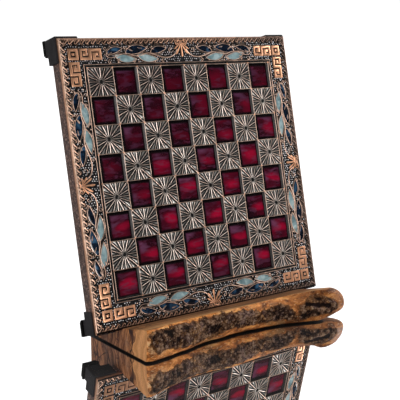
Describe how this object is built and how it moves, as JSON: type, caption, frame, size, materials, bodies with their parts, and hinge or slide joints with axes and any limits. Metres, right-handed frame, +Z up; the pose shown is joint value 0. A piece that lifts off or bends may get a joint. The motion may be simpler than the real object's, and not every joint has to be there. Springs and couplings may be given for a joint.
{
  "type": "chessboard",
  "caption": "Square embossed copper-coloured chessboard with dark red enamel squares, enamel leaf border and black corner feet, leaning back in a live-edge wooden stand.",
  "frame": {"origin": "on the floor, at the middle of the width and depth of the board and its stand together", "axes": "+X to the right along the board's lower edge, +Y to the back, the way the board leans, +Z up"},
  "size_m": [0.2822, 0.1412, 0.2939],
  "materials": {
    "copper_relief": "antiqued copper plating, bright on the raised lines and dark in the ground",
    "red_enamel": "pearly deep red enamel, glossy",
    "blue_enamel": "deep blue enamel, glossy",
    "teal_enamel": "pale teal enamel, glossy",
    "panel_wood": "plain fibre panel, hidden",
    "backing_felt": "black felt",
    "leatherette": "dark grained leatherette",
    "foot_plastic": "matte moulded black",
    "pad_rubber": "matte black rubber",
    "screw_steel": "zinc plated",
    "olive_wood": "oiled olive wood with dark figure",
    "bark": "rough natural bark"
  },
  "bodies": {
    "stand": {"stand_block": "olive_wood", "stand_bark_left": "bark", "stand_bark_right": "bark"},
    "board": {"relief_plate": "copper_relief", "red_enamel_squares": "red_enamel", "blue_enamel_leaves": "blue_enamel", "teal_enamel_leaves": "teal_enamel", "board_core": "panel_wood", "backing_sheet": "backing_felt", "edge_band_left": "leatherette", "edge_band_right": "leatherette", "edge_band_top": "leatherette", "edge_band_bottom": "leatherette", "corner_foot_top_left": "foot_plastic", "corner_foot_top_right": "foot_plastic", "corner_foot_bottom_left": "foot_plastic", "corner_foot_bottom_right": "foot_plastic", "foot_pad_top_left": "pad_rubber", "foot_pad_top_right": "pad_rubber", "foot_pad_bottom_left": "pad_rubber", "foot_pad_bottom_right": "pad_rubber", "foot_screws": "screw_steel"}
  },
  "joints": [
    {"name": "board_lift", "type": "slide", "parent": "stand", "child": "board", "axis": [0, 0.2297, 0.9733], "range_m": [0, 0.08]}
  ]
}
